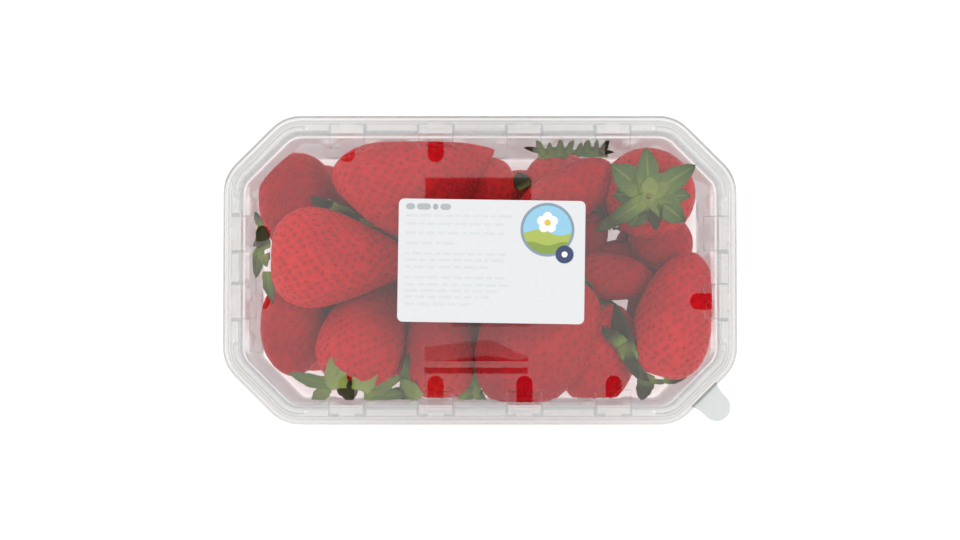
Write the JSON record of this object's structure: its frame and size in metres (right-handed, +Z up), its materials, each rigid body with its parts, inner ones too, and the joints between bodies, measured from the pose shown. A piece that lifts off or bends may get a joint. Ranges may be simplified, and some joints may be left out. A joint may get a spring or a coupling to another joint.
{
  "type": "punnet of strawberries",
  "caption": "Clear plastic fruit punnet with a press-on lid, shut over a heap of whole strawberries, with a paper label on the lid.",
  "frame": {"origin": "under the middle of the punnet, on the surface it rests on", "axes": "+Z up, +X along the long side, +Y away from the viewer who reads the label, so the lid's tab is at the +X -Y corner"},
  "size_m": [0.19, 0.1146, 0.0757],
  "materials": {
    "clear_plastic": "clear, glossy thermoformed sheet",
    "strawberry": "moist berry skin, soft gloss",
    "label_paper": "smooth matt"
  },
  "bodies": {
    "root": {"tray": "clear_plastic", "lid": "clear_plastic", "berries": "strawberry", "label": "label_paper"}
  },
  "joints": []
}
